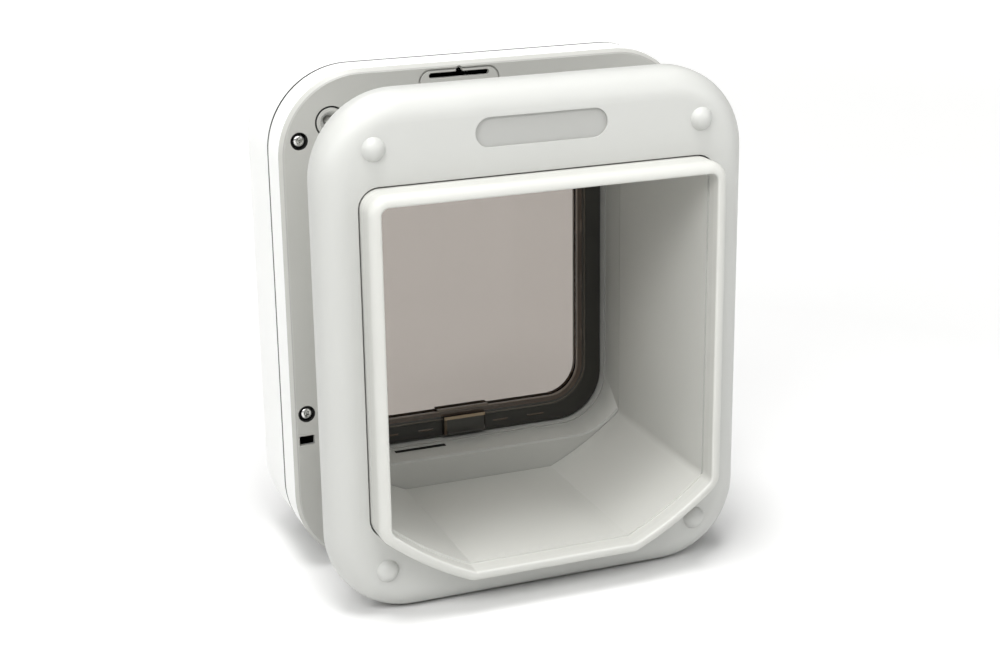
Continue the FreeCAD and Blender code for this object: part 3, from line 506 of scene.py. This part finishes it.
# Metals: brushed or turned, with faint scratches
wearSet = {
    "cloudDetail": 4.0, "glossPerCloud": 3, "smooth": 0.22, "rough": 0.38,
    "scratchDetail": 5.0, "scratchRough": 0.7, "scratchDepth": 0.25, "scratchHeight": 0.0002,
}
metalSets = {
    "screwSteel": {"light": (0.86, 0.86, 0.84), "dark": (0.72, 0.72, 0.70), "cloud": 300,
                   "scratch": 1800},
    "magnetNickel": {"light": (0.60, 0.59, 0.56), "dark": (0.48, 0.47, 0.45), "cloud": 180,
                     "scratch": 900},
    "coilCopper": {"light": (0.72, 0.36, 0.18), "dark": (0.45, 0.20, 0.09), "cloud": 400,
                   "scratch": 2400},
    "contactBrass": {"light": (0.78, 0.66, 0.38), "dark": (0.62, 0.52, 0.30), "cloud": 260,
                     "scratch": 1500},
}


def turnedMetal(name, setup):
    finish, tree, shader = newFinish(name)
    cloud = noise(tree, setup["cloud"], wearSet["cloudDetail"])
    tree.links.new(tints(tree, cloud, setup["dark"], setup["light"]),
                   shader.inputs["Base Color"])
    shader.inputs["Metallic"].default_value = 1.0
    gloss = noise(tree, setup["cloud"] * wearSet["glossPerCloud"])
    tree.links.new(spread(tree, gloss, wearSet["smooth"], wearSet["rough"]),
                   shader.inputs["Roughness"])
    scratch = noise(tree, setup["scratch"], wearSet["scratchDetail"], wearSet["scratchRough"])
    tree.links.new(bump(tree, scratch, wearSet["scratchDepth"], wearSet["scratchHeight"]),
                   shader.inputs["Normal"])
    return finish


metals = {name: turnedMetal(name, setup) for name, setup in metalSets.items()}
print("cat flap: finishes made")


# Which finish each node takes
nodeFinish = {
    "outer_frame": plastics["frameWhite"],
    "entry_tunnel": plastics["tunnelWhite"],
    "housing_back": plastics["backGrey"],
    "housing_cover": plastics["coverWhite"],
    "flap_surround": plastics["surroundGrey"],
    "battery_cover": plastics["coverWhite"],
    "screw_caps": plastics["coverWhite"],
    "exit_lock_disc": plastics["coverWhite"],
    "entry_lock_disc": plastics["coverWhite"],
    "lock_shaft": plastics["coverWhite"],
    "latch_bolt": plastics["coverWhite"],
    "lock_knob": plastics["knobGrey"],
    "learn_button": plastics["knobGrey"],
    "mode_button": plastics["knobGrey"],
    "status_lens": plastics["lensRed"],
    "battery_tray": plastics["trayBlack"],
    "batteries": plastics["cellSleeve"],
    "circuit_board": plastics["boardGreen"],
    "flap_seal": plastics["sealDark"],
    "flap_frame": flapBrown,
    "flap_pane": paneSmoke,
    "flap_magnet": metals["magnetNickel"],
    "sill_magnet": metals["magnetNickel"],
    "hinge_pins": metals["screwSteel"],
    "latch_solenoid": metals["magnetNickel"],
    "reader_coil": metals["coilCopper"],
    "battery_contacts": metals["contactBrass"],
    "fixing_screws": metals["screwSteel"],
    "housing_screws": metals["screwSteel"],
}
for node, finish in nodeFinish.items():
    mesh = nodes[node].data
    mesh.materials.clear()
    mesh.materials.append(finish)
print("cat flap: finishes given to the nodes")


# Mesh helpers: a ring stands across Y, and a turned form is a row of closed rings
def ringOf(mesh, radius, steps, along):
    turn = 2 * math.pi / steps
    return [mesh.verts.new((radius * math.cos(k * turn), along, radius * math.sin(k * turn)))
            for k in range(steps)]


def joinRings(mesh, rings):
    for low, high in zip(rings, rings[1:]):
        count = len(low)
        for k in range(count):
            after = (k + 1) % count
            mesh.faces.new((low[k], low[after], high[after], high[k]))
    mesh.faces.new(rings[0])
    mesh.faces.new(rings[-1])


def looseObject(name, mesh):
    data = bpy.data.meshes.new(name)
    mesh.to_mesh(data)
    mesh.free()
    piece = bpy.data.objects.new(name, data)
    scene.collection.objects.link(piece)
    return piece


def finishMesh(name, mesh, finish, body, corner):
    bmesh.ops.recalc_face_normals(mesh, faces=mesh.faces)
    piece = looseObject(name, mesh)
    for face in piece.data.polygons:
        face.use_smooth = True
    piece.data.set_sharp_from_angle(angle=math.radians(corner))
    piece.data.materials.append(finish)
    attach(piece, body)
    return piece


def softBar(mesh, low, high, corner):
    made = bmesh.ops.create_cube(mesh, size=1)["verts"]
    for vert in made:
        vert.co = [low[k] + (vert.co[k] + 0.5) * (high[k] - low[k]) for k in range(3)]
    edges = list({edge for vert in made for edge in vert.link_edges})
    bmesh.ops.bevel(mesh, geom=edges, offset=corner, segments=3, profile=0.5, affect="EDGES")


# Screws: a domed head with a cross recess, and a thread cut into the shank
headSet = {
    "steps": 40,
    "profile": ((0.0, 0.42), (0.035, 0.62), (0.10, 0.80), (0.21, 0.93), (0.36, 0.99), (0.5, 1.0),
                (0.94, 1.0), (1.0, 0.97)),   # shares of the height and of the radius
    "crossReach": 0.60, "crossWide": 0.17,   # shares of the radius
    "crossStart": -0.2, "crossDeep": 0.42,   # shares of the height
    "crossTop": 1.05, "crossFoot": 0.55,     # the cross narrows on its way down
    "crossTurns": (20, 110),                 # degrees
}
threadSet = {
    "steps": 14,
    "ringsPerPitch": 5,
    "crest": 1.5,        # over 1 gives the thread a flat crest
    "runOut": 0.0001,    # from the thread's end to the full shank
    "underHead": 0.98,   # where the shank meets the head, a share of its height
}
screwSet = {"body": "housing", "slot": "steel", "corner": 30}


def crossHead(setup):
    radius, height = setup["headRadius"], setup["headHeight"]
    mesh = bmesh.new()
    joinRings(mesh, [ringOf(mesh, radius * wide, headSet["steps"], height * along)
                     for along, wide in headSet["profile"]])
    bmesh.ops.recalc_face_normals(mesh, faces=mesh.faces)
    head = looseObject("screwHead", mesh)
    cutters = []
    reach, wide = headSet["crossReach"] * radius, headSet["crossWide"] * radius
    for turnBy in headSet["crossTurns"]:
        cut = bmesh.new()
        joinRings(cut, [[cut.verts.new((x * reach * share, along * height, z * wide * share))
                         for x, z in ((-1, -1), (1, -1), (1, 1), (-1, 1))]
                        for along, share in ((headSet["crossStart"], headSet["crossTop"]),
                                             (headSet["crossDeep"], headSet["crossFoot"]))])
        bmesh.ops.rotate(cut, verts=cut.verts, cent=(0, 0, 0),
                         matrix=Matrix.Rotation(math.radians(turnBy), 3, "Y"))
        bmesh.ops.recalc_face_normals(cut, faces=cut.faces)
        cutter = looseObject("crossCut", cut)
        carve = head.modifiers.new("carve", "BOOLEAN")
        carve.operation = "DIFFERENCE"
        carve.object = cutter
        cutters.append(cutter)
    graph = bpy.context.evaluated_depsgraph_get()
    carved = bpy.data.meshes.new_from_object(head.evaluated_get(graph))
    for item in cutters + [head]:
        bpy.data.objects.remove(item)
    return carved


def threadedShank(mesh, setup):
    steps, pitch = threadSet["steps"], setup["pitch"]
    root, full = setup["root"], setup["shankRadius"]
    rings = []
    count = int(setup["thread"] / pitch * threadSet["ringsPerPitch"])
    for k in range(count + 1):
        along = setup["shankEnd"] - setup["thread"] * k / count
        ring = ringOf(mesh, 1.0, steps, along)
        for j, vert in enumerate(ring):
            phase = (along / pitch - j / steps) % 1
            crest = min(1.0, threadSet["crest"] * (1 - abs(2 * phase - 1)))
            fade = 1.0 if 0 < k < count else 0.0
            radius = root + (full - root) * crest * fade
            vert.co.x *= radius
            vert.co.z *= radius
        rings.append(ring)
    rings.append(ringOf(mesh, full, steps, along - threadSet["runOut"]))
    rings.append(ringOf(mesh, full, steps, setup["headHeight"] * threadSet["underHead"]))
    joinRings(mesh, rings)


# One screw lies along Y with its head's top at 0, then it is copied to each place
def makeScrews(name, setup, finish):
    head = crossHead(setup)
    mesh = bmesh.new()
    for x, z in setup["places"]:
        one = bmesh.new()
        one.from_mesh(head)
        threadedShank(one, setup)
        flip = Matrix.Scale(setup["way"], 4, (0, 1, 0))
        bmesh.ops.transform(one, verts=one.verts,
                            matrix=Matrix.Translation((x, setup["headTop"], z)) @ flip)
        data = bpy.data.meshes.new("oneScrew")
        one.to_mesh(data)
        one.free()
        mesh.from_mesh(data)
        bpy.data.meshes.remove(data)
    bpy.data.meshes.remove(head)
    piece = finishMesh(name, mesh, finish, screwSet["body"],
                       screwSet["corner"])
    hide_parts(setup["node"])


housingScrewSet = {
    "node": "housing_screws",
    "way": 1,           # the head faces the door
    "headTop": 0.0455, "headRadius": 0.00275, "headHeight": 0.003,
    "shankRadius": 0.0015, "root": 0.0011, "shankEnd": 0.030, "thread": 0.022, "pitch": 0.0011,
    "places": [(side * x, z) for x, z in housingSpots for side in (-1, 1)],
}
fixingScrewSet = {
    "node": "fixing_screws",
    "way": -1,          # the head faces the room
    "headTop": 0.0558, "headRadius": 0.0038, "headHeight": 0.0028,
    "shankRadius": 0.0020, "root": 0.0016, "shankEnd": 0.0668, "thread": 0.034, "pitch": 0.0007,
    "places": [(side * fixingSpot[0], level * fixingSpot[1])
               for side in (-1, 1) for level in (-1, 1)],
}
makeScrews("housingScrews", housingScrewSet, metals["screwSteel"])
makeScrews("fixingScrews", fixingScrewSet, metals["screwSteel"])
print("cat flap: screws made")


# Raised clips that hold the pane, along the flap's bead and its seal band, in a lighter copy of
# the flap's plastic that paints a highlight on them. A spot is the clip's middle along the band
# and half its length.
flapClipSet = {
    "body": "flap", "slot": "flap_brown", "sharpFrom": 35,
    "bead": 0.0910, "sealFace": 0.0913, "proud": 0.00022, "sunk": 0.0005,
    "wide": 0.0011, "corner": 0.0002,
    "side": 0.0649, "sideSpots": ((0.0221, 0.0033), (-0.0066, 0.0037), (-0.0352, 0.0033)),
    "row": -0.0672, "rowSpots": ((-0.0238, 0.0023), (0.0190, 0.0029)),
    "sealRow": -0.0750, "sealSpots": ((0.0202, 0.0040), (0.0393, 0.0047)),
}


def makeFlapClips(setup):
    mesh = bmesh.new()

    def clip(face, x, z, reachX, reachZ):
        softBar(mesh, (x - reachX, face - setup["proud"], z - reachZ),
                (x + reachX, face + setup["sunk"], z + reachZ), setup["corner"])

    half = setup["wide"] / 2
    for side in (-1, 1):
        for z, reach in setup["sideSpots"]:
            clip(setup["bead"], side * setup["side"], z, half, reach)
    for x, reach in setup["rowSpots"]:
        clip(setup["bead"], x, setup["row"], reach, half)
    for side in (-1, 1):
        for x, reach in setup["sealSpots"]:
            clip(setup["sealFace"], side * x, setup["sealRow"], reach, half)
    finishMesh("flapClips", mesh, clipHighlightBrown, setup["body"], setup["sharpFrom"])


makeFlapClips(flapClipSet)
print("cat flap: flap clips made")


# Floor, backdrop and light
studioSet = {
    "floorSize": 16.0,
    "floorTone": (0.77, 0.77, 0.765),
    "floorShade": 0.985,   # its darker tint, a share of the tone
    "floorCloud": 3,
    "floorRough": 0.8,
    "floorSpecular": 0.1,
    "glowStart": 0.45,     # metres from the middle where the floor starts to glow
    "glowEnd": 2.5,
    "worldTone": (1.0, 1.0, 0.99),
    "worldStrength": 0.06,   # as a light; it is white where the camera or the pane looks at it
    "lampAim": (0, 0, 0),
    "lampSize": 0.9,
}
lampSets = {
    "leftPanel": {"place": (-1.8, -0.8, 1.0), "power": 10.8},
    "highLeftPanel": {"place": (-1.1, -1.3, 1.5), "power": 17.8},
    "frontPanel": {"place": (0, -1.7, 1.7), "power": 13.2},
    "topPanel": {"place": (-0.2, -0.3, 1.9), "power": 36},
    "rightPanel": {"place": (1.5, -1.3, 0.9), "power": 10},
    "behindPanel": {"place": (-0.3, 0.9, 1.7), "power": 10.7},
}


def makeWorld(setup):
    world = bpy.data.worlds.new("paleRoom")
    scene.world = world
    world.use_nodes = True
    tree = world.node_tree
    light = tree.nodes["Background"]
    light.inputs["Color"].default_value = (*setup["worldTone"], 1)
    rays = tree.nodes.new("ShaderNodeLightPath").outputs
    seen = maths(tree, "MAXIMUM", rays["Is Camera Ray"], rays["Is Transmission Ray"])
    tree.links.new(spread(tree, seen, setup["worldStrength"], 1.0), light.inputs["Strength"])


def makeFloor(setup):
    half = setup["floorSize"] / 2
    low = cadBounds[0][2]
    mesh = bpy.data.meshes.new("paleFloor")
    mesh.from_pydata([(-half, -half, low), (half, -half, low), (half, half, low),
                      (-half, half, low)], [], [(0, 1, 2, 3)])
    floor = bpy.data.objects.new("paleFloor", mesh)
    scene.collection.objects.link(floor)
    finish, tree, shader = newFinish("floorPaint")
    pale = setup["floorTone"]
    shade = tuple(setup["floorShade"] * part for part in pale)
    tree.links.new(tints(tree, noise(tree, setup["floorCloud"]), shade, pale),
                   shader.inputs["Base Color"])
    shader.inputs["Roughness"].default_value = setup["floorRough"]
    shader.inputs["Specular IOR Level"].default_value = setup["floorSpecular"]
    shader.inputs["Emission Color"].default_value = (*setup["worldTone"], 1)
    away = distance(tree, axis(tree, "X"), axis(tree, "Y"))
    tree.links.new(spread(tree, away, 0.0, 1.0, setup["glowStart"], setup["glowEnd"]),
                   shader.inputs["Emission Strength"])
    mesh.materials.append(finish)


def makeLamps(setup, lamps):
    for name, lamp in lamps.items():
        data = bpy.data.lights.new(name, "AREA")
        data.shape = "SQUARE"
        data.size = setup["lampSize"]
        data.energy = lamp["power"]
        item = bpy.data.objects.new(name, data)
        scene.collection.objects.link(item)
        item.location = lamp["place"]
        toward = Vector(setup["lampAim"]) - Vector(lamp["place"])
        item.rotation_euler = toward.to_track_quat("-Z", "Y").to_euler()


scene.view_settings.view_transform = "Standard"
makeWorld(studioSet)
makeFloor(studioSet)
makeLamps(studioSet, lampSets)
print("cat flap: floor and lights in place")

print("cat flap: done")
